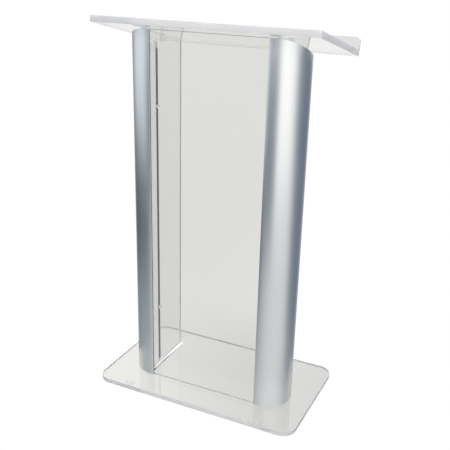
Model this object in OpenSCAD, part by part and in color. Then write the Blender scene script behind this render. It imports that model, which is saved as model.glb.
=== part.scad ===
// Presentation lectern: a clear acrylic body and reading surface between two
// satin aluminium quarter-round columns, on a clear acrylic base plate.
// +Z is up, +X is to the right seen from the audience, and the audience stands
// at -Y. The origin is at the centre of the base, at floor level.

/* [Overall] */
// Height of the reading surface's audience-side edge above the floor
overall_h = 1172; // [1120:1:1200]
// Clearance that keeps a cut clean where two faces would otherwise coincide
cut_eps = 1; // [0.5:0.5:2]

/* [Base plate] */
// Width of the base plate
base_w = 686; // [640:1:740]
// Depth of the base plate
base_d = 406; // [400:1:440]
// Thickness of the base plate
base_t = 15; // [12:1:20]
// Corner radius of the base plate in plan
base_r = 45; // [25:1:60]

/* [Feet] */
// Height of a clear soft foot
foot_h = 4; // [4:0.5:8]
// Diameter of a clear soft foot
foot_dia = 30; // [24:1:44]
// Distance of the feet from the centre line, sideways
foot_x = 230; // [180:1:280]
// Distance of the feet from the centre line, front to back
foot_y = 178; // [150:1:180]
// Width of a foot's tapered rim
foot_taper = 1; // [0.5:0.5:3]

/* [Body panels] */
// Inside width between the two side panels
body_inner_w = 402; // [380:1:410]
// Thickness of the front and side panels
panel_t = 10; // [8:1:12]
// Y position of the front panel's audience-side face
front_y = -107; // [-109:1:-105]
// Y position of the side panels' rear edges
side_rear_y = 115; // [90:1:140]
// Radius of the quarter-round cleat along a side panel's foot
cleat_r = 10; // [8:1:14]
// Depth of a top fixing block, front to back
block_d = 16; // [12:1:24]
// Height of a top fixing block
block_h = 22; // [16:1:30]
// Thickness of a top fixing block, sideways
block_w = 12; // [8:1:14]
// Y position of a top fixing block's front face
block_y = -14; // [-30:1:60]

/* [Columns] */
// Outer radius of the quarter-round extrusion
col_r = 82; // [80:1:84]
// X position of the extrusion's arc centre
col_cx = 192; // [190:1:194]
// Y position of the extrusion's arc centre
col_cy = -30; // [-31:1:-29]
// Wall thickness of the extrusion
col_wall = 3; // [2.5:0.5:3.5]
// Y position of the extrusion's rear face
col_rear_y = -20; // [-22:1:-16]
// X position of the front leg's free end
leg_end_x = 182; // [176:1:186]
// Width of the return that carries the side gasket
return_d = 16; // [14:1:20]
// Gap between a side panel and the extrusion's return
side_gap = 2; // [2:0.5:3]
// Gap between the front panel and the extrusion's front leg
leg_gap = 1; // [1:0.5:1.5]
// Slope of the extrusion's mitred top, as height lost per length
mitre_slope = 0.5; // [0.4:0.01:0.55]
// Gap between the mitred top's highest point and the reading surface
mitre_gap = 1.5; // [1:0.5:3]
// Height of the liner's top edge above the floor
liner_top = 1099; // [1080:1:1105]
// Height of the side gasket's lower end above the floor
gasket_z0 = 34; // [30:1:60]
// Height of the side gasket's upper end above the floor
gasket_z1 = 1077; // [1060:1:1085]
// Width of the side gasket
gasket_w = 12; // [10:1:13]
// Width of the front gasket
front_gasket_w = 8; // [6:1:9]
// Height of the foot plug inside a column
plug_h = 40; // [30:1:60]

/* [Fixings] */
// Heights of the column screws above the floor
screw_zs = [230, 906]; // [180:1:960]
// Diameter of a column screw's shank
screw_dia = 4; // [4:0.5:5]
// Diameter of a column screw's round head
screw_head_dia = 14; // [10:1:16]
// Height of a column screw's round head
screw_head_h = 4; // [3:0.5:4]
// Outer diameter of a spacer between side panel and extrusion
spacer_dia = 7.6; // [7:0.1:8]
// Gap in the side gasket at each screw
gasket_break = 8.4; // [8.2:0.1:10]
// Distance across the corners of a column nut
nut_dia = 8; // [7.7:0.1:8.5]
// Thickness of a column nut
nut_h = 3.2; // [3:0.1:4]
// Diameter of a plug screw's shank
plug_screw_dia = 8; // [6:0.5:8]
// Diameter of a plug screw's countersunk head
plug_head_dia = 16; // [13:0.5:16]
// Height of a plug screw's countersunk head
plug_head_h = 4.4; // [4:0.1:5]
// Length of a plug screw's thread inside the plug
plug_thread = 25; // [16:1:28]

/* [Reading surface] */
// Width of the reading surface
top_w = 680; // [640:1:686]
// Thickness of the reading surface
top_t = 18; // [16:1:20]
// Downward tilt of the reading surface towards the speaker
top_tilt = 12.8; // [11:0.1:14]
// Y position of the reading surface's audience-side upper edge
top_near_y = -168; // [-175:1:-160]
// Corner radius of the audience-side corners
top_r = 8; // [4:1:15]
// Width of the eased arris along the surface's long edges
top_ease = 0.5; // [0.3:0.1:1]
// Height of the paper stop above the reading surface
stop_h = 35; // [25:1:45]
// Thickness of the paper stop
stop_t = 12; // [10:1:15]
// Corner radius of the paper stop's upper corners
stop_r = 12; // [6:1:14]

/* [Hidden] */

round_fn = 96;                                   // segments of every round face
base_top = foot_h + base_t;                      // height of the base plate's top
panel_in_x = body_inner_w / 2;                   // side panel's inner face
panel_out_x = panel_in_x + panel_t;              // side panel's outer face
front_back_y = front_y + panel_t;                // front panel's rear face
stop_out_y = base_d / 2;                         // paper stop's outermost edge
top_far_y = stop_out_y - stop_h * sin(top_tilt) - stop_t * cos(top_tilt); // surface's far end
far_low_y = top_far_y - top_t * sin(top_tilt);   // far edge's lower corner
slope = tan(top_tilt);
near_low_y = top_near_y - top_t * sin(top_tilt); // near edge's lower corner
near_low_z = overall_h - top_t * cos(top_tilt);
return_x = panel_out_x + side_gap;               // extrusion's return
col_front_y = col_cy - col_r;                    // extrusion's front-most line
plug_clear = 0.4;                                // plug's clearance in the hollow
thread_clear = 0.2;                              // radial clearance round a shank
blind_extra = 0.5;                               // blind hole beyond a screw's tip
screw_y = col_rear_y - gasket_w / 2;             // column screws' distance from the front
screw_tip = 1;                                   // column screw's tip beyond its nut
plug_screw_xy = [[237, -44], [228, -76]];        // plug screws' places, right column
plug_head_gap = 0.3;                             // sunk depth of a plug screw's head

// Height of the reading surface's lower face at a given y
function under_z(y) = near_low_z - slope * (y - near_low_y);

// Height of the extrusion's mitred top at a given y
function mitre_z(y) = under_z(col_front_y) - mitre_gap - mitre_slope * (y - col_front_y);

// A profile of [y, z] points, extruded sideways from x0 to x1
module side_profile(points, x0, x1) {
    translate([x0, 0, 0])
        rotate([90, 0, 90])
            linear_extrude(x1 - x0)
                polygon(points);
}

// A panel strip from y0 to y1 whose top follows the reading surface's lower face
module under_top(y0, y1, z0, x0, x1) {
    side_profile([[y0, z0], [y1, z0], [y1, under_z(y1)], [y0, under_z(y0)]], x0, x1);
}

// The same piece on the left-hand side
module on_left() {
    mirror([1, 0, 0])
        children();
}

// A cylinder that lies along X from x0 to x1
module x_rod(dia, x0, x1, fn = round_fn) {
    translate([x0, 0, 0])
        rotate([0, 90, 0])
            cylinder(d = dia, h = x1 - x0, $fn = fn);
}

// A flat plate with round corners in plan
module rounded_plate(w, d, r, h) {
    linear_extrude(h)
        union() {
            square([w - 2 * r, d], center = true);
            square([w, d - 2 * r], center = true);
            for (x = [-1, 1], y = [-1, 1])
                translate([x * (w / 2 - r), y * (d / 2 - r)])
                    circle(r = r, $fn = round_fn);
        }
}

// Repeats its children at the four feet
module at_feet() {
    for (x = [-foot_x, foot_x], y = [-foot_y, foot_y])
        translate([x, y, 0])
            children();
}

// Repeats its children at the right column's plug screws
module at_plug_screws() {
    for (place = plug_screw_xy)
        translate([place[0], place[1], 0])
            children();
}

// Repeats its children at both heights of the right column's screws
module at_column_screws() {
    for (z = screw_zs)
        translate([0, screw_y, z])
            children();
}

// A countersunk plug screw, grown by a radial clearance
module plug_screw(clear, sink, tip) {
    translate([0, 0, foot_h + sink])
        cylinder(d1 = plug_head_dia + 2 * clear, d2 = plug_screw_dia + 2 * clear,
                 h = plug_head_h, $fn = round_fn);
    translate([0, 0, foot_h + sink])
        cylinder(d = plug_screw_dia + 2 * clear, h = base_t + plug_thread + tip, $fn = round_fn);
}

module base_plate() {
    color("whitesmoke", 0.4)
        difference() {
            translate([0, 0, foot_h])
                rounded_plate(base_w, base_d, base_r, base_t);
            for (side = [0, 1])
                mirror([side, 0, 0])
                    at_plug_screws() {
                        plug_screw(thread_clear, plug_head_gap, 0);
                        translate([0, 0, foot_h - cut_eps])
                            cylinder(d = plug_head_dia + 2 * thread_clear, h = cut_eps + plug_head_gap,
                                     $fn = round_fn);
                    }
        }
}

module base_feet() {
    color("whitesmoke", 0.6)
        at_feet()
            cylinder(d1 = foot_dia - 2 * foot_taper, d2 = foot_dia, h = foot_h, $fn = round_fn);
}

module front_panel() {
    color("whitesmoke", 0.4)
        under_top(front_y, front_back_y, base_top, -panel_out_x, panel_out_x);
}

module side_panel() {
    color("whitesmoke", 0.4)
        difference() {
            under_top(front_back_y, side_rear_y, base_top, panel_in_x, panel_out_x);
            at_column_screws()
                x_rod(screw_dia, panel_in_x - cut_eps, panel_out_x + cut_eps);
        }
}

module left_side_panel() {
    on_left()
        side_panel();
}

module right_side_panel() {
    side_panel();
}

// Quarter-round strip in the corner between side panel and base plate
module foot_cleat() {
    color("white", 0.5)
        translate([panel_in_x, side_rear_y, base_top])
            rotate([90, 0, 0])
                linear_extrude(side_rear_y - front_back_y)
                    intersection() {
                        circle(r = cleat_r, $fn = round_fn);
                        translate([-cleat_r, 0])
                            square(cleat_r);
                    }
}

module left_foot_cleat() {
    on_left()
        foot_cleat();
}

module right_foot_cleat() {
    foot_cleat();
}

module top_block() {
    color("white", 0.5)
        under_top(block_y, block_y + block_d, under_z(block_y) - block_h,
                  panel_in_x - block_w, panel_in_x);
}

module left_top_block() {
    on_left()
        top_block();
}

module right_top_block() {
    top_block();
}

// Cross-section of the right extrusion
module column_section() {
    difference() {
        union() {
            intersection() {
                translate([col_cx, col_cy])
                    difference() {
                        circle(r = col_r, $fn = round_fn);
                        circle(r = col_r - col_wall, $fn = round_fn);
                    }
                translate([col_cx, col_front_y])
                    square(col_r);
            }
            translate([leg_end_x, col_front_y])
                square([col_cx - leg_end_x, front_y - leg_gap - col_front_y]);
            translate([col_cx + col_r - col_wall, col_cy])
                square([col_wall, col_rear_y - col_cy]);
            translate([return_x, col_rear_y - col_wall])
                square([col_cx + col_r - return_x, col_wall]);
            translate([return_x, col_rear_y - return_d])
                square([col_wall, return_d]);
        }
        translate([0, front_y - leg_gap])
            square([panel_out_x + leg_gap, col_r]);
    }
}

// Quarter-round extrusion with a mitred top, right side
module column() {
    color("silver")
        difference() {
            translate([0, 0, base_top])
                linear_extrude(overall_h - base_top)
                    column_section();
            side_profile([[col_front_y - cut_eps, mitre_z(col_front_y - cut_eps)],
                          [col_rear_y + cut_eps, mitre_z(col_rear_y + cut_eps)],
                          [col_rear_y + cut_eps, overall_h + cut_eps],
                          [col_front_y - cut_eps, overall_h + cut_eps]],
                         leg_end_x - cut_eps, col_cx + col_r + cut_eps);
            at_column_screws()
                x_rod(screw_dia, return_x - cut_eps, return_x + col_wall + cut_eps);
        }
}

module left_column() {
    on_left()
        column();
}

module right_column() {
    column();
}

// Light plastic strip that closes the extrusion's open side, right side
module column_liner() {
    color("gainsboro")
        translate([panel_out_x, front_y, base_top])
            cube([side_gap, col_rear_y - gasket_w - front_y, liner_top - base_top]);
}

module left_column_liner() {
    on_left()
        column_liner();
}

module right_column_liner() {
    column_liner();
}

// Foam strip between side panel and return, with a break at each screw
module side_gasket() {
    ends = [gasket_z0, for (z = screw_zs) each [z - gasket_break / 2, z + gasket_break / 2], gasket_z1];
    color("black")
        for (i = [0 : 2 : len(ends) - 1])
            translate([panel_out_x, col_rear_y - gasket_w, ends[i]])
                cube([side_gap, gasket_w, ends[i + 1] - ends[i]]);
}

module left_side_gasket() {
    on_left()
        side_gasket();
}

module right_side_gasket() {
    side_gasket();
}

// Foam strip between front panel and front leg, right side
module front_gasket() {
    color("black")
        translate([leg_end_x, front_y - leg_gap, base_top])
            cube([front_gasket_w, leg_gap, mitre_z(front_y) - base_top]);
}

module left_front_gasket() {
    on_left()
        front_gasket();
}

module right_front_gasket() {
    front_gasket();
}

module column_screws() {
    color("white", 0.6)
        at_column_screws() {
            x_rod(screw_head_dia, panel_in_x - screw_head_h, panel_in_x);
            x_rod(screw_dia, panel_in_x - screw_head_h, return_x + col_wall + nut_h + screw_tip);
        }
}

module left_column_screws() {
    on_left()
        column_screws();
}

module right_column_screws() {
    column_screws();
}

module column_spacers() {
    color("white")
        at_column_screws()
            difference() {
                x_rod(spacer_dia, panel_out_x, return_x);
                x_rod(screw_dia, panel_out_x - cut_eps, return_x + cut_eps);
            }
}

module left_column_spacers() {
    on_left()
        column_spacers();
}

module right_column_spacers() {
    column_spacers();
}

module column_nuts() {
    color("gray")
        at_column_screws()
            difference() {
                x_rod(nut_dia, return_x + col_wall, return_x + col_wall + nut_h, 6);
                x_rod(screw_dia, return_x, return_x + col_wall + nut_h + cut_eps);
            }
}

module left_column_nuts() {
    on_left()
        column_nuts();
}

module right_column_nuts() {
    column_nuts();
}

// Block inside the extrusion's foot that takes the screws from below
module column_plug() {
    plug_x = return_x + col_wall + plug_clear;
    color("darkgray")
        difference() {
            translate([0, 0, base_top])
                linear_extrude(plug_h)
                    intersection() {
                        translate([col_cx, col_cy])
                            circle(r = col_r - col_wall - plug_clear, $fn = round_fn);
                        translate([plug_x, col_front_y])
                            square([col_cx + col_r - col_wall - plug_clear - plug_x,
                                    col_rear_y - col_wall - plug_clear - col_front_y]);
                    }
            at_plug_screws()
                cylinder(d = plug_screw_dia, h = base_top + plug_thread + blind_extra, $fn = round_fn);
        }
}

module left_column_plug() {
    on_left()
        column_plug();
}

module right_column_plug() {
    column_plug();
}

module plug_screws() {
    color("silver")
        at_plug_screws()
            plug_screw(0, plug_head_gap, -plug_head_gap);
}

module left_plug_screws() {
    on_left()
        plug_screws();
}

module right_plug_screws() {
    plug_screws();
}

// Sloped sheet, its long arrises eased and its near corners rounded
module reading_surface() {
    run = (top_far_y - top_near_y) / cos(top_tilt);
    color("whitesmoke", 0.4)
        translate([0, near_low_y, near_low_z])
            rotate([-top_tilt, 0, 0])
                intersection() {
                    side_profile([[top_ease, 0], [run - top_ease, 0],
                                  [run, top_ease], [run, top_t - top_ease],
                                  [run - top_ease, top_t], [top_ease, top_t],
                                  [0, top_t - top_ease], [0, top_ease]],
                                 -top_w / 2, top_w / 2);
                    translate([0, run / 2 + top_r, -cut_eps])
                        rounded_plate(top_w, run + 2 * top_r, top_r, top_t + 2 * cut_eps);
                }
}

// Outline of the paper stop, its upper corners rounded
module stop_outline(height) {
    union() {
        translate([-top_w / 2, 0])
            square([top_w, height - stop_r]);
        translate([stop_r - top_w / 2, 0])
            square([top_w - 2 * stop_r, height]);
        for (x = [-1, 1])
            translate([x * (top_w / 2 - stop_r), height - stop_r])
                circle(r = stop_r, $fn = round_fn);
    }
}

// Strip along the speaker's edge, square to the reading surface
module paper_stop() {
    color("whitesmoke", 0.4)
        translate([0, far_low_y, under_z(far_low_y)])
            rotate([90 - top_tilt, 0, 0])
                translate([0, 0, -stop_t])
                    linear_extrude(stop_t)
                        stop_outline(top_t + stop_h);
}

base_plate();
base_feet();
front_panel();
left_side_panel();
right_side_panel();
left_foot_cleat();
right_foot_cleat();
left_top_block();
right_top_block();
left_column();
right_column();
left_column_liner();
right_column_liner();
left_side_gasket();
right_side_gasket();
left_front_gasket();
right_front_gasket();
left_column_screws();
right_column_screws();
left_column_spacers();
right_column_spacers();
left_column_nuts();
right_column_nuts();
left_column_plug();
right_column_plug();
left_plug_screws();
right_plug_screws();
reading_surface();
paper_stop();
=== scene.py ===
import math
import random

import bmesh
import bpy
from mathutils import Matrix, Vector


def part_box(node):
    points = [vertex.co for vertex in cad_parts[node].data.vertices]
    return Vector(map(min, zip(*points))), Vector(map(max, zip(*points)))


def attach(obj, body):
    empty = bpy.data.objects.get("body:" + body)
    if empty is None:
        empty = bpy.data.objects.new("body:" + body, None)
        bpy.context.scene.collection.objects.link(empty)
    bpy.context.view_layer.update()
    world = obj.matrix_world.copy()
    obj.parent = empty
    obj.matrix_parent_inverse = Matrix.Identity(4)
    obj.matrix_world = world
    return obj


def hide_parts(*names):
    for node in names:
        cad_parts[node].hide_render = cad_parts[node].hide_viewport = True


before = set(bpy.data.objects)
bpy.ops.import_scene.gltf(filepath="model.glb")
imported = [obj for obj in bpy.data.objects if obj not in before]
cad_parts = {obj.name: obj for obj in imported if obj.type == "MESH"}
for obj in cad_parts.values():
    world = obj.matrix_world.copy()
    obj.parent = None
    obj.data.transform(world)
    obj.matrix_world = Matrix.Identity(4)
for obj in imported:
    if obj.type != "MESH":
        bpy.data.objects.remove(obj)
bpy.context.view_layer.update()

random.seed(7)
MM = 0.001

# ---------------------------------------------------------------- design values
TILT = math.radians(12.8)          # slope of the reading surface
TOP_T = 18 * MM                    # thickness of the reading surface
STOP_T = 12 * MM                   # thickness of the paper stop
STOP_H = 35 * MM                   # paper stop above the reading surface
STOP_R = 12 * MM                   # paper stop's upper corners
TOP_R = 8 * MM                     # reading surface's near corners
BASE_R = 45 * MM                   # base plate's corners
COL_R = 82 * MM                    # extrusion's outer radius
COL_WALL = 3 * MM
RETURN_D = 16 * MM                 # depth of the extrusion's return
MITRE = 0.5                        # fall of the extrusion's top per unit of depth
ARRIS = 0.5 * MM                   # reading surface's eased edges
JOINT = 0.1 * MM                   # optical gap left at a cemented joint
COL_TAIL = 4 * MM                  # thickness of the extrusion's front leg
RETURN_GAP = 2 * MM                # side panel to the extrusion's return
TAIL_GAP = 1 * MM                  # side panel to where the extrusion's wall starts
BREAK = 4.2 * MM                   # half of the side foam's break at a screw
FOOT_R = 15.0                      # foot's radius in mm
PAPER = 1.01                       # brightness of the studio floor and background
FLOOR_R = 9                        # radius of the studio floor in metres
ALONG = Vector((0, math.cos(TILT), -math.sin(TILT)))   # down the slope
UPRIGHT = Vector((0, math.sin(TILT), math.cos(TILT)))  # square to the slope

# ---------------------------------------------------------------- camera
cam_data = bpy.data.cameras.new("camera")
cam = bpy.data.objects.new("camera", cam_data)
bpy.context.scene.collection.objects.link(cam)
cam_data.sensor_width = 36
cam_data.lens = 56.652
cam_data.clip_start, cam_data.clip_end = 0.05, 60
yaw, pitch, roll = 0.43885, 0.36202, 0.02543
fw = Vector((-math.sin(yaw) * math.cos(pitch), math.cos(yaw) * math.cos(pitch), -math.sin(pitch)))
rt = Vector((math.cos(yaw), math.sin(yaw), 0))
up = rt.cross(fw)
right = rt * math.cos(roll) + up * math.sin(roll)
above = up * math.cos(roll) - rt * math.sin(roll)
turn = Matrix((right, above, -fw)).transposed()
cam.matrix_world = Matrix.Translation((0.889486, -1.860068, 1.332186)) @ turn.to_4x4()
bpy.context.scene.camera = cam


# ---------------------------------------------------------------- mesh helpers
def arc(cx, cy, r, a0, a1, n):
    """Points of an arc in degrees, both ends included."""
    return [(cx + r * math.cos(math.radians(a0 + (a1 - a0) * i / n)),
             cy + r * math.sin(math.radians(a0 + (a1 - a0) * i / n))) for i in range(n + 1)]


def rounded_box(x0, x1, y0, y1, radii, n=14):
    """Counter-clockwise outline; radii are of the corners from lower left, round."""
    out = []
    for (cx, cy, a), r in zip(((x0, y0, 180), (x1, y0, 270), (x1, y1, 0), (x0, y1, 90)), radii):
        if r == 0:
            out.append((cx, cy))
        else:
            mx = cx + (r if cx == x0 else -r)
            my = cy + (r if cy == y0 else -r)
            out += arc(mx, my, r, a, a + 90, n)
    return out


def finish_mesh(name, bm, mats):
    bmesh.ops.recalc_face_normals(bm, faces=bm.faces)
    mesh = bpy.data.meshes.new(name)
    bm.to_mesh(mesh)
    bm.free()
    for m in mats:
        mesh.materials.append(m)
    obj = bpy.data.objects.new(name, mesh)
    bpy.context.scene.collection.objects.link(obj)
    return obj


def prism(name, outline, frame_of, depth, mats, bevel=0.6 * MM, steps=2):
    """An outline of (u, v) points, extruded by depth.

    frame_of(u, v, w) gives the place in space. Lateral faces take the second
    material, if there is one, because they are the sheet's cut edges.
    """
    bm = bmesh.new()
    n = len(outline)
    low = [bm.verts.new(frame_of(u, v, 0)) for u, v in outline]
    high = [bm.verts.new(frame_of(u, v, depth)) for u, v in outline]
    bm.faces.new(low[::-1])
    bm.faces.new(high)
    sides = []
    for i in range(n):
        j = (i + 1) % n
        f = bm.faces.new((low[i], low[j], high[j], high[i]))
        f.material_index = 1 if len(mats) > 1 else 0
        sides.append(f)
    bm.normal_update()
    for f in sides:
        near = [e for e in f.edges if e.verts[0] in low and e.verts[1] in high
                or e.verts[1] in low and e.verts[0] in high]
        f.smooth = any(0.002 < e.calc_face_angle(0) < 0.6 for e in near)
    if bevel:
        sharp = [e for e in bm.edges if e.calc_face_angle(0) > 0.6]
        made = bmesh.ops.bevel(bm, geom=sharp, offset=bevel, offset_type="OFFSET", segments=steps,
                               profile=0.5, affect="EDGES", clamp_overlap=True)
        for f in made["faces"]:
            f.smooth = True
            f.material_index = 1 if len(mats) > 1 else 0
    return finish_mesh(name, bm, mats)


def add_lathe(bm, profile, place, n=48, axis="z", flats=0):
    """A profile of (radius, height) points, turned about an axis through place.

    With flats, the section is that polygon, cut round by the radius.
    """
    rings = []
    for r, h in profile:
        if r < 1e-7:
            rings.append([bm.verts.new(swap(place, 0, 0, h, axis))])
            continue
        ring = []
        for i in range(n):
            a = 2 * math.pi * i / n
            reach = r
            if flats:
                step = 2 * math.pi / flats
                reach = min(r, r * math.cos(step / 2) / math.cos((a % step) - step / 2))
            ring.append(bm.verts.new(swap(place, reach * math.cos(a), reach * math.sin(a), h, axis)))
        rings.append(ring)
    for a, b in zip(rings, rings[1:]):
        for i in range(n):
            j = (i + 1) % n
            q = [a[i % len(a)], a[j % len(a)], b[j % len(b)], b[i % len(b)]]
            q = list(dict.fromkeys(q))
            if len(q) > 2:
                f = bm.faces.new(q)
                f.smooth = True


def swap(place, a, b, h, axis):
    """A point at (a, b) across an axis and h along it."""
    x, y, z = place
    return (x + a, y + b, z + h) if axis == "z" else (x + h, y + a, z + b)


def sharpen(obj, angle=35):
    """Marks edges sharper than an angle, so that turned parts keep crisp shoulders."""
    bm = bmesh.new()
    bm.from_mesh(obj.data)
    for e in bm.edges:
        e.smooth = e.calc_face_angle(0) < math.radians(angle)
    bm.to_mesh(obj.data)
    bm.free()


def mirrored(obj, name):
    """The same piece on the left-hand side."""
    mesh = obj.data.copy()
    mesh.name = name
    mesh.transform(Matrix.Scale(-1, 4, (1, 0, 0)))
    mesh.flip_normals()
    twin = bpy.data.objects.new(name, mesh)
    bpy.context.scene.collection.objects.link(twin)
    return twin


def place_piece(obj, slot, *nodes):
    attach(obj, "root")
    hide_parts(*nodes)


# ---------------------------------------------------------------- materials
class Nodes:
    """A short way to write a material's nodes."""

    def __init__(self, name):
        self.mat = bpy.data.materials.new(name)
        self.mat.use_nodes = True
        self.tree = self.mat.node_tree
        self.shader = self.tree.nodes["Principled BSDF"]
        self.coord = self.tree.nodes.new("ShaderNodeTexCoord").outputs["Object"]

    def set(self, **values):
        for key, value in values.items():
            self.shader.inputs[key.replace("_", " ")].default_value = value

    def link(self, a, b):
        self.tree.links.new(a, b)

    def stretched(self, x, y, z):
        n = self.tree.nodes.new("ShaderNodeMapping")
        n.inputs["Scale"].default_value = (x, y, z)
        self.link(self.coord, n.inputs["Vector"])
        return n.outputs["Vector"]

    def noise(self, scale, detail=3, rough=0.5, vector=None):
        n = self.tree.nodes.new("ShaderNodeTexNoise")
        n.inputs["Scale"].default_value = scale
        n.inputs["Detail"].default_value = detail
        n.inputs["Roughness"].default_value = rough
        self.link(vector or self.coord, n.inputs["Vector"])
        return n.outputs["Fac"]

    def voronoi(self, scale, vector=None):
        n = self.tree.nodes.new("ShaderNodeTexVoronoi")
        n.inputs["Scale"].default_value = scale
        self.link(vector or self.coord, n.inputs["Vector"])
        return n.outputs["Distance"]

    def remap(self, value, a0, a1, b0, b1):
        n = self.tree.nodes.new("ShaderNodeMapRange")
        for key, v in (("From Min", a0), ("From Max", a1), ("To Min", b0), ("To Max", b1)):
            n.inputs[key].default_value = v
        self.link(value, n.inputs["Value"])
        return n.outputs["Result"]

    def math(self, op, a, b):
        n = self.tree.nodes.new("ShaderNodeMath")
        n.operation = op
        for i, v in enumerate((a, b)):
            if isinstance(v, (int, float)):
                n.inputs[i].default_value = v
            else:
                self.link(v, n.inputs[i])
        return n.outputs[0]

    def ramp(self, value, stops):
        n = self.tree.nodes.new("ShaderNodeValToRGB")
        fill_ramp(n.color_ramp, stops)
        self.link(value, n.inputs["Fac"])
        return n.outputs["Color"]

    def bump(self, height, distance, strength=1.0):
        n = self.tree.nodes.new("ShaderNodeBump")
        n.inputs["Distance"].default_value = distance
        n.inputs["Strength"].default_value = strength
        self.link(height, n.inputs["Height"])
        self.link(n.outputs["Normal"], self.shader.inputs["Normal"])

    def color(self, out):
        self.link(out, self.shader.inputs["Base Color"])

    def rough(self, out):
        self.link(out, self.shader.inputs["Roughness"])


def fill_ramp(ramp, stops):
    while len(ramp.elements) > 1:
        ramp.elements.remove(ramp.elements[-1])
    ramp.elements[0].position = stops[0][0]
    ramp.elements[0].color = (*stops[0][1], 1)
    for pos, col in stops[1:]:
        ramp.elements.new(pos).color = (*col, 1)


def acrylic(name, low, high, rough_lo, rough_hi, wave=0.02):
    """Clear cast sheet: faint uneven tint, wiping haze, and a slight cast wave."""
    m = Nodes(name)
    m.set(Transmission_Weight=1.0, IOR=1.49)
    m.color(m.ramp(m.noise(2.2, 2), [(0.35, low), (0.7, high)]))
    haze = m.noise(9, 5, 0.62)
    wipe = m.noise(26, 3, 0.6, m.stretched(1, 1, 0.25))
    m.rough(m.remap(m.math("MULTIPLY", haze, wipe), 0.18, 0.42, rough_lo, rough_hi))
    if wave:
        m.bump(m.noise(14, 1), wave * MM, 0.35)
    return m.mat


def satin_aluminium():
    """Anodised extrusion: fine die lines along it and slight cloudiness."""
    m = Nodes("satin_aluminium")
    m.set(Metallic=1.0)
    lines = m.noise(1, 4, 0.6, m.stretched(900, 900, 3))
    cloud = m.noise(7, 4, 0.55, m.stretched(1, 1, 0.5))
    mixed = m.math("ADD", m.math("MULTIPLY", lines, 0.45), m.math("MULTIPLY", cloud, 0.55))
    m.color(m.ramp(mixed, [(0.3, (0.72, 0.735, 0.745)), (0.7, (0.78, 0.79, 0.795))]))
    m.rough(m.remap(mixed, 0.3, 0.7, 0.28, 0.36))
    m.bump(lines, 0.006 * MM, 0.3)
    return m.mat


def plastic(name, low, high, rough_lo, rough_hi, grain, depth, stretch=(1, 1, 1), spec=0.5):
    m = Nodes(name)
    m.set(IOR=1.5, Specular_IOR_Level=spec)
    vec = m.stretched(*stretch)
    fine = m.noise(grain, 4, 0.6, vec)
    cloud = m.noise(11, 3)
    m.color(m.ramp(m.math("ADD", m.math("MULTIPLY", fine, 0.5), m.math("MULTIPLY", cloud, 0.5)),
                   [(0.35, low), (0.68, high)]))
    m.rough(m.remap(fine, 0.3, 0.7, rough_lo, rough_hi))
    m.bump(fine, depth, 0.6)
    return m.mat


def foam():
    """Closed-cell strip: dark, pitted, dull."""
    m = Nodes("black_foam")
    m.set(IOR=1.4, Specular_IOR_Level=0.25)
    cells = m.voronoi(900)
    cloud = m.noise(40, 3)
    m.color(m.ramp(m.math("MULTIPLY", cells, cloud),
                   [(0.05, (0.05, 0.05, 0.053)), (0.5, (0.12, 0.12, 0.125))]))
    m.rough(m.remap(cloud, 0.3, 0.7, 0.78, 0.95))
    m.bump(cells, 0.25 * MM, 0.8)
    return m.mat


def turned_metal(name, low, high, rough_lo, rough_hi):
    """Plated or cast metal with fine tool marks and small spots."""
    m = Nodes(name)
    m.set(Metallic=1.0)
    marks = m.noise(700, 3, 0.6)
    spots = m.noise(90, 4, 0.6)
    m.color(m.ramp(spots, [(0.35, low), (0.7, high)]))
    m.rough(m.remap(marks, 0.3, 0.7, rough_lo, rough_hi))
    m.bump(marks, 0.03 * MM, 0.5)
    return m.mat


def sawn_edge():
    """A sheet's machined edge: fine cutter marks across it, half clear and half milky."""
    m = Nodes("machined_edge")
    m.set(Transmission_Weight=0.5, IOR=1.49)
    m.color(m.ramp(m.noise(12, 3), [(0.35, (0.89, 0.885, 0.905)), (0.7, (0.94, 0.937, 0.95))]))
    marks = m.noise(240, 2, 0.5)
    m.rough(m.remap(marks, 0.3, 0.7, 0.32, 0.38))
    m.bump(marks, 0.006 * MM, 0.1)
    return m.mat


clear = acrylic("clear_acrylic", (0.982, 0.982, 0.974), (0.996, 0.996, 0.988), 0.0, 0.02)
edge = sawn_edge()
soft_clear = acrylic("clear_rubber", (0.84, 0.85, 0.85), (0.93, 0.935, 0.93), 0.22, 0.4, 0.1)
silver = satin_aluminium()
liner_mat = plastic("light_liner", (0.93, 0.935, 0.93), (0.97, 0.975, 0.97), 0.35, 0.5, 60, 0.02 * MM,
                    (8, 8, 0.6))
foam_mat = foam()
nylon = plastic("white_nylon", (0.72, 0.72, 0.69), (0.86, 0.86, 0.83), 0.35, 0.5, 300, 0.02 * MM)
steel = turned_metal("zinc_steel", (0.50, 0.52, 0.55), (0.68, 0.69, 0.71), 0.22, 0.38)
cast = turned_metal("cast_plug", (0.42, 0.43, 0.45), (0.58, 0.59, 0.61), 0.45, 0.62)
fixing = acrylic("clear_fixing", (0.90, 0.91, 0.91), (0.97, 0.975, 0.97), 0.03, 0.12, 0.03)

# ---------------------------------------------------------------- base plate and feet
base_lo, base_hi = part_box("base_plate")
base_top = base_hi.z
outline = rounded_box(base_lo.x, base_hi.x, base_lo.y, base_hi.y, [BASE_R] * 4, 28)
base = prism("base_sheet", outline, lambda u, v, w: (u, v, base_lo.z + w), base_hi.z - base_lo.z,
             [clear, edge], 1.0 * MM, steps=3)
place_piece(base, "clear_acrylic", "base_plate")

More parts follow.
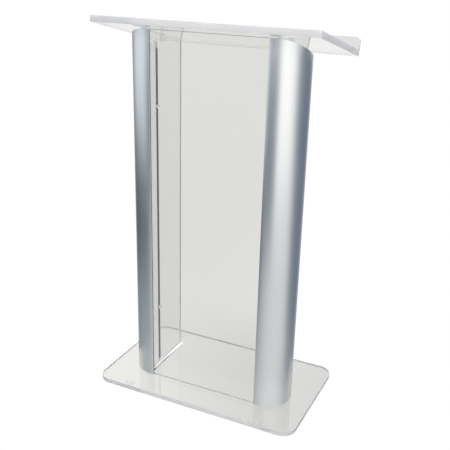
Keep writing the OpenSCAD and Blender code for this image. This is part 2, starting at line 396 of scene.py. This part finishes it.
feet_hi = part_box("base_feet")[1]
foot_h = feet_hi.z / MM
bm = bmesh.new()
for sx in (-1, 1):
    for sy in (-1, 1):
        spot = (sx * (feet_hi.x - FOOT_R * MM), sy * (feet_hi.y - FOOT_R * MM), 0)
        profile = [(0, 0.35), (9.0, 0.3), (9.6, 0), (13.4, 0), (13.9, 0.2), (14.2, 0.7), (14.9, 3.2),
                   (15.0, foot_h - 0.3), (14.9, foot_h - 0.05), (0, foot_h - 0.05)]
        add_lathe(bm, [(r * MM, h * MM) for r, h in profile], spot, 64)
feet = finish_mesh("soft_feet", bm, [soft_clear])
sharpen(feet)
place_piece(feet, "clear_rubber", "base_feet")


def thread(r_root, r_crest, z0, z1, pitch):
    """Profile of thread ridges from z0 to z1, in mm."""
    out = []
    z = z0
    while z + pitch <= z1:
        out += [(r_root, z), (r_crest, z + pitch * 0.5)]
        z += pitch
    return out + [(r_root, z), (r_root * 0.6, z1), (0, z1)]


# ---------------------------------------------------------------- clear body
top_lo, top_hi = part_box("reading_surface")
near_low = Vector((0, top_lo.y - ARRIS * math.sin(TILT),
                   top_hi.z + ARRIS * math.sin(TILT) - TOP_T * math.cos(TILT)))
stop_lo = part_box("paper_stop")[0]
slope_len = (stop_lo.y - near_low.y) / math.cos(TILT)
far_low = near_low + ALONG * slope_len


def under(y):
    """Height of the reading surface's lower face."""
    return near_low.z - math.tan(TILT) * (y - near_low.y)


front_lo, front_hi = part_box("front_panel")
floor_z = base_top + JOINT


def front_place(u, v, w):
    y = front_lo.y + w
    return (u, y, floor_z if v == 0 else under(y) - JOINT)


front = prism("front_sheet", [(front_lo.x, 0), (front_hi.x, 0), (front_hi.x, 1), (front_lo.x, 1)],
              front_place, front_hi.y - front_lo.y, [clear, edge], 0.5 * MM)
place_piece(front, "clear_acrylic", "front_panel")

side_lo, side_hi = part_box("right_side_panel")
side_y0 = side_lo.y + JOINT
side_outline = [(side_y0, floor_z), (side_hi.y, floor_z), (side_hi.y, under(side_hi.y) - JOINT),
                (side_y0, under(side_y0) - JOINT)]
side = prism("right_side_sheet", side_outline, lambda u, v, w: (side_lo.x + w, u, v),
             side_hi.x - side_lo.x, [clear, edge], 0.5 * MM)
place_piece(mirrored(side, "left_side_sheet"), "clear_acrylic", "left_side_panel")
place_piece(side, "clear_acrylic", "right_side_panel")

cleat_lo, cleat_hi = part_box("right_foot_cleat")
cleat_r = cleat_hi.x - cleat_lo.x - JOINT
corner_x, corner_z = cleat_hi.x - JOINT, cleat_lo.z + JOINT
cleat_outline = [(corner_x, corner_z)] + arc(corner_x, corner_z, cleat_r, 90, 180, 16)
cleat = prism("right_cleat_bead", cleat_outline,
              lambda u, v, w: (u, cleat_lo.y + JOINT + w, v), cleat_hi.y - cleat_lo.y - JOINT,
              [clear], 0.25 * MM)
place_piece(mirrored(cleat, "left_cleat_bead"), "clear_acrylic", "left_foot_cleat")
place_piece(cleat, "clear_acrylic", "right_foot_cleat")

block_lo, block_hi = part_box("right_top_block")
block_y0, block_y1 = block_lo.y, block_hi.y
block_low = block_lo.z
block_outline = [(block_y0, block_low), (block_y1, block_low), (block_y1, under(block_y1) - JOINT),
                 (block_y0, under(block_y0) - JOINT)]
block = prism("right_top_cube", block_outline, lambda u, v, w: (block_lo.x + w, u, v),
              block_hi.x - block_lo.x - JOINT, [edge], 0.7 * MM)
place_piece(mirrored(block, "left_top_cube"), "clear_acrylic", "left_top_block")
place_piece(block, "clear_acrylic", "right_top_block")

# ---------------------------------------------------------------- reading surface and stop
plate_outline = rounded_box(top_lo.x, top_hi.x, 0, slope_len - JOINT, [TOP_R, TOP_R, 0, 0], 10)


def plate_place(u, v, w):
    return near_low + ALONG * v + UPRIGHT * w + Vector((u, 0, 0))


plate = prism("reading_sheet", plate_outline, plate_place, TOP_T, [clear, edge], 0.8 * MM, steps=3)
place_piece(plate, "clear_acrylic", "reading_surface")

stop_outline = rounded_box(top_lo.x, top_hi.x, 0, TOP_T + STOP_H, [0, 0, STOP_R, STOP_R], 14)


def stop_place(u, v, w):
    return far_low + UPRIGHT * v + ALONG * w + Vector((u, 0, 0))


stop = prism("stop_strip", stop_outline, stop_place, STOP_T, [clear, edge], 0.9 * MM, steps=3)
place_piece(stop, "clear_acrylic", "paper_stop")

# ---------------------------------------------------------------- columns
col_lo, col_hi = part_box("right_column")
col_cx, col_cy = col_hi.x - COL_R, col_lo.y + COL_R
return_x = side_hi.x + RETURN_GAP
leg_back = col_lo.y + COL_TAIL
inner_r = COL_R - COL_WALL
inner_x = side_hi.x + TAIL_GAP
start = math.degrees(math.asin((inner_x - col_cx) / inner_r)) - 90
section = [(col_lo.x, col_lo.y)] + arc(col_cx, col_cy, COL_R, -90, 0, 60)
section += [(col_hi.x, col_hi.y), (return_x, col_hi.y), (return_x, col_hi.y - RETURN_D),
            (return_x + COL_WALL, col_hi.y - RETURN_D), (return_x + COL_WALL, col_hi.y - COL_WALL),
            (col_hi.x - COL_WALL, col_hi.y - COL_WALL)]
section += arc(col_cx, col_cy, inner_r, 0, start, 48)
section += [(inner_x, leg_back), (col_lo.x, leg_back)]
col_len = col_hi.z - col_lo.z


def column_place(u, v, w):
    return (u, v, col_lo.z + JOINT if w == 0 else col_hi.z - MITRE * (v - col_lo.y))


column = prism("right_extrusion", section, column_place, col_len, [silver], 0.35 * MM)
place_piece(mirrored(column, "left_extrusion"), "satin_aluminium", "left_column")
place_piece(column, "satin_aluminium", "right_column")

liner_lo, liner_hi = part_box("right_column_liner")
thin = 0.15 * MM
liner_outline = [(liner_lo.x + thin, liner_lo.y), (liner_hi.x - thin, liner_lo.y),
                 (liner_hi.x - thin, liner_hi.y - 0.3 * MM), (liner_lo.x + thin, liner_hi.y - 0.3 * MM)]
liner = prism("right_liner_strip", liner_outline, lambda u, v, w: (u, v, liner_lo.z + JOINT + w),
              liner_hi.z - liner_lo.z - JOINT, [liner_mat], 0.4 * MM)
place_piece(mirrored(liner, "left_liner_strip"), "light_liner", "left_column_liner")
place_piece(liner, "light_liner", "right_column_liner")


def foam_strip(bm, x0, x1, y0, y1, z0, z1, slack):
    """A soft strip, ringed every few centimetres, its edge slightly uneven."""
    steps = max(6, int((z1 - z0) / (12 * MM)))
    rings = []
    for i in range(steps + 1):
        z = z0 + (z1 - z0) * i / steps
        dy0, dy1 = random.uniform(0, slack), random.uniform(0, slack)
        r = 0.3 * (x1 - x0)
        pts = [(x0 + r, y0 + dy0), (x1 - r, y0 + dy0), (x1, y0 + dy0 + r), (x1, y1 - dy1 - r),
               (x1 - r, y1 - dy1), (x0 + r, y1 - dy1), (x0, y1 - dy1 - r), (x0, y0 + dy0 + r)]
        rings.append([bm.verts.new((x, y, z)) for x, y in pts])
    for a, b in zip(rings, rings[1:]):
        for i in range(8):
            f = bm.faces.new((a[i], a[(i + 1) % 8], b[(i + 1) % 8], b[i]))
            f.smooth = True
    bm.faces.new(rings[0][::-1])
    bm.faces.new(rings[-1])


gasket_lo, gasket_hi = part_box("right_side_gasket")
screw_lo, screw_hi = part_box("right_column_screws")
head_r = (screw_hi.y - screw_lo.y) / 2
screw_y = (screw_lo.y + screw_hi.y) / 2
screw_zs = [screw_lo.z + head_r, screw_hi.z - head_r]
ends = [gasket_lo.z] + [z + s * BREAK for z in screw_zs for s in (-1, 1)] + [gasket_hi.z]
bm = bmesh.new()
for z0, z1 in zip(ends[::2], ends[1::2]):
    foam_strip(bm, gasket_lo.x + JOINT, gasket_hi.x - JOINT, gasket_lo.y, gasket_hi.y, z0, z1, 0.4 * MM)
gasket = finish_mesh("right_side_foam", bm, [foam_mat])
place_piece(mirrored(gasket, "left_side_foam"), "black_foam", "left_side_gasket")
place_piece(gasket, "black_foam", "right_side_gasket")

seal_lo, seal_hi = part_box("right_front_gasket")
bm = bmesh.new()
foam_strip(bm, seal_lo.x, seal_hi.x, seal_lo.y + 0.05 * MM, seal_hi.y - 0.05 * MM, seal_lo.z + JOINT,
           seal_hi.z, 0.02 * MM)
seal = finish_mesh("right_front_foam", bm, [foam_mat])
place_piece(mirrored(seal, "left_front_foam"), "black_foam", "left_front_gasket")
place_piece(seal, "black_foam", "right_front_gasket")

# ---------------------------------------------------------------- column screws
bm = bmesh.new()
for z in screw_zs:
    spot = (screw_lo.x, screw_y, z)
    profile = [(0, 1.5), (2.2, 1.5), (2.5, 0.15), (4.2, 0.05), (5.8, 0.7), (6.8, 2.0), (7.0, 3.2),
               (6.8, 3.95), (2.0, 3.95)]
    profile += [(2.0, 13.5)] + thread(1.7, 1.98, 14.0, (screw_hi.x - screw_lo.x) / MM, 0.7)
    add_lathe(bm, [(r * MM, h * MM) for r, h in profile], spot, 40, "x")
screws = finish_mesh("right_clear_screws", bm, [fixing])
sharpen(screws)
place_piece(mirrored(screws, "left_clear_screws"), "clear_fixing", "left_column_screws")
place_piece(screws, "clear_fixing", "right_column_screws")

spacer_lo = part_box("right_column_spacers")[0]
nut_lo, nut_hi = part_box("right_column_nuts")
bm = bmesh.new()
for z in screw_zs:
    profile = [(2.05, 0.1), (3.5, 0.1), (3.8, 0.4), (3.8, 1.6), (3.5, 1.9), (2.05, 1.9), (2.05, 0.1)]
    add_lathe(bm, [(r * MM, h * MM) for r, h in profile], (spacer_lo.x, screw_y, z), 40, "x")
spacers = finish_mesh("right_nylon_spacers", bm, [nylon])
sharpen(spacers)
place_piece(mirrored(spacers, "left_nylon_spacers"), "white_nylon", "left_column_spacers")
place_piece(spacers, "white_nylon", "right_column_spacers")

bm = bmesh.new()
nut_h = (nut_hi.x - nut_lo.x) / MM
for z in screw_zs:
    profile = [(2.02, 0.05), (3.5, 0.05), (4.0, 0.35), (4.0, nut_h - 0.35), (3.5, nut_h),
               (2.02, nut_h), (2.02, 0.05)]
    add_lathe(bm, [(r * MM, h * MM) for r, h in profile], (nut_lo.x, screw_y, z), 48, "x", flats=6)
nuts = finish_mesh("right_hex_nuts", bm, [steel])
sharpen(nuts, 20)
place_piece(mirrored(nuts, "left_hex_nuts"), "zinc_steel", "left_column_nuts")
place_piece(nuts, "zinc_steel", "right_column_nuts")

# ---------------------------------------------------------------- plugs and their screws
plug_lo, plug_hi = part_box("right_column_plug")
plug_r = inner_r - 0.4 * MM
a_start = math.degrees(math.asin((plug_lo.x - col_cx) / plug_r)) - 90
a_end = math.degrees(math.acos((plug_hi.x - col_cx - 0.01 * MM) / plug_r))
plug_outline = arc(col_cx, col_cy, plug_r, a_start, min(a_end, 0), 32)
plug_outline += [(plug_outline[-1][0], plug_hi.y), (plug_lo.x, plug_hi.y)]
plug = prism("right_cast_plug", plug_outline, lambda u, v, w: (u, v, plug_lo.z + JOINT + w),
             plug_hi.z - plug_lo.z - JOINT, [cast], 0.8 * MM)
place_piece(mirrored(plug, "left_cast_plug"), "cast_plug", "left_column_plug")
place_piece(plug, "cast_plug", "right_column_plug")

bolt_lo, bolt_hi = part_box("right_plug_screws")
bolt_r = 8 * MM
bolt_spots = [(bolt_hi.x - bolt_r, bolt_hi.y - bolt_r), (bolt_lo.x + bolt_r, bolt_lo.y + bolt_r)]
bolt_len = (bolt_hi.z - bolt_lo.z) / MM
bm = bmesh.new()
for x, y in bolt_spots:
    profile = [(0, 2.4), (2.4, 2.4), (2.6, 0.1), (7.6, 0.0), (8.0, 0.25), (4.1, 4.3), (3.9, 4.8)]
    profile += thread(3.45, 3.98, 6.0, bolt_len, 1.25)
    add_lathe(bm, [(r * MM, h * MM) for r, h in profile], (x, y, bolt_lo.z), 40)
bolts = finish_mesh("right_plug_bolts", bm, [steel])
sharpen(bolts)
place_piece(mirrored(bolts, "left_plug_bolts"), "zinc_steel", "left_plug_screws")
place_piece(bolts, "zinc_steel", "right_plug_screws")

# ---------------------------------------------------------------- studio: floor
bm = bmesh.new()
bmesh.ops.create_circle(bm, cap_ends=True, radius=FLOOR_R, segments=96)
floor = finish_mesh("studio_floor", bm, [])
floor.location.z = -0.0005
paper = bpy.data.materials.new("studio_paper")
paper.use_nodes = True
pt = paper.node_tree
pt.nodes.clear()
glow = pt.nodes.new("ShaderNodeEmission")
glow.inputs["Strength"].default_value = 1.0
glow.inputs["Color"].default_value = (PAPER, PAPER, PAPER, 1)
out = pt.nodes.new("ShaderNodeOutputMaterial")
pt.links.new(glow.outputs[0], out.inputs["Surface"])
floor.data.materials.append(paper)
floor.visible_glossy = False
floor.visible_transmission = False
floor.visible_diffuse = False
floor.visible_shadow = False

# ---------------------------------------------------------------- studio: soft surround
scene = bpy.context.scene
world = bpy.data.worlds.new("studio")
scene.world = world
world.use_nodes = True
wt = world.node_tree
wt.nodes.clear()


def wnode(kind, **attrs):
    n = wt.nodes.new(kind)
    for k, v in attrs.items():
        setattr(n, k, v)
    return n


def wmath(op, a, b=0.0):
    n = wnode("ShaderNodeMath", operation=op)
    for i, v in enumerate((a, b)):
        if isinstance(v, (int, float)):
            n.inputs[i].default_value = v
        else:
            wt.links.new(v, n.inputs[i])
    return n.outputs[0]


def wmix(fac, a, b):
    n = wnode("ShaderNodeMix", data_type="RGBA")
    for key, v in ((0, fac), (6, a), (7, b)):
        if isinstance(v, (int, float)):
            n.inputs[key].default_value = v
        elif isinstance(v, tuple):
            n.inputs[key].default_value = (*v, 1)
        else:
            wt.links.new(v, n.inputs[key])
    return n.outputs[2]


def soft(value, a0, a1):
    """0 before a0, 1 past a1, and a soft edge between."""
    n = wnode("ShaderNodeMapRange", interpolation_type="SMOOTHSTEP")
    n.inputs["From Min"].default_value = a0
    n.inputs["From Max"].default_value = a1
    wt.links.new(value, n.inputs["Value"])
    return n.outputs["Result"]


def panel(under_it, azimuth, half, edge_soft, value, low=None, high=None):
    """Lays a soft-edged studio panel, lit or dark, over what is under it.

    Azimuth 0 is the audience's side and 90 the right. The half width and the soft
    edge are in degrees. The panel fades in over low and out over high, each a pair
    of heights on the unit sphere.
    """
    a = math.radians(azimuth)
    toward = wmath("ADD", wmath("MULTIPLY", flat_x, math.sin(a)),
                   wmath("MULTIPLY", flat_y, -math.cos(a)))
    mask = soft(toward, math.cos(math.radians(half + edge_soft)), math.cos(math.radians(half)))
    if low:
        mask = wmath("MULTIPLY", mask, soft(dz, *low))
    if high:
        mask = wmath("MULTIPLY", mask, soft(wmath("MULTIPLY", dz, -1.0), -high[1], -high[0]))
    return wmix(mask, under_it, value)


direction = wnode("ShaderNodeTexCoord").outputs["Generated"]
split = wnode("ShaderNodeSeparateXYZ")
wt.links.new(direction, split.inputs[0])
dx, dy, dz = split.outputs
flat = wnode("ShaderNodeVectorMath", operation="NORMALIZE")
flatten = wnode("ShaderNodeCombineXYZ")
wt.links.new(dx, flatten.inputs[0])
wt.links.new(dy, flatten.inputs[1])
wt.links.new(flatten.outputs[0], flat.inputs[0])
split_flat = wnode("ShaderNodeSeparateXYZ")
wt.links.new(flat.outputs[0], split_flat.inputs[0])
flat_x, flat_y = split_flat.outputs[0], split_flat.outputs[1]

# brightness of the surround's parts
FLOOR = (0.42, 0.45, 0.46)
DIM = (0.24, 0.28, 0.30)           # the unlit room
DARK = (0.04, 0.06, 0.07)          # band under the strip light
WALL = (0.95, 0.95, 0.95)          # pale backdrop
KEY = (1.35, 1.34, 1.32)
SPILL = (0.78, 0.79, 0.79)         # key light's spill on walls and floor
STRIP = (0.86, 0.91, 0.96)
FRONT_FLAG = (0.22, 0.26, 0.30)
REAR_FLAG = (0.17, 0.21, 0.27)
CEILING = (1.6, 1.6, 1.6)

surround = wmix(soft(dz, -0.66, -0.46), FLOOR, DIM)
surround = panel(surround, 45, 25, 65, SPILL)
surround = panel(surround, 42, 5, 45, KEY, low=(-0.35, 0.0))
surround = panel(surround, -65, 25, 30, STRIP, low=(-0.18, -0.02))
surround = panel(surround, -75, 30, 30, DARK, low=(-0.48, -0.36), high=(-0.26, -0.14))
surround = panel(surround, -10, 8, 26, FRONT_FLAG, low=(-0.46, -0.30))
surround = panel(surround, 145, 20, 45, REAR_FLAG, low=(-0.80, -0.45))
surround = panel(surround, -160, 10, 28, WALL)
surround = wmix(soft(dz, 0.2, 0.6), surround, CEILING)

# what clear sheets show: pale paper below with a painted shadow of the lectern on it, darker towards
# the back where the view looks steeply down, a paler wall and a soft ceiling above
through = panel((0.78, 0.78, 0.755), -175, 5, 25, (0.61, 0.61, 0.595), high=(-0.54, -0.44))
through = wmix(soft(dz, -0.03, 0.05), through, (1.1, 1.1, 1.08))
through = wmix(soft(dz, 0.15, 0.4), through, (0.9, 0.9, 0.89))
# what a ray sees that was reflected before it went through a sheet
bounced = panel(surround, -155, 40, 25, through)

path = wnode("ShaderNodeLightPath")
sheet = wmix(wmath("MINIMUM", path.outputs["Glossy Depth"], 1.0), through, bounced)
shown = wmix(wmath("MINIMUM", path.outputs["Transmission Depth"], 1.0), surround, sheet)
shown = wmix(path.outputs["Is Camera Ray"], shown, (PAPER, PAPER, PAPER))
back = wnode("ShaderNodeBackground")
wt.links.new(shown, back.inputs["Color"])
wout = wnode("ShaderNodeOutputWorld")
wt.links.new(back.outputs[0], wout.inputs["Surface"])

scene.view_settings.view_transform = "Standard"
scene.cycles.blur_glossy = 0.0
scene.cycles.max_bounces = 32
scene.cycles.transmission_bounces = 32
scene.cycles.glossy_bounces = 16
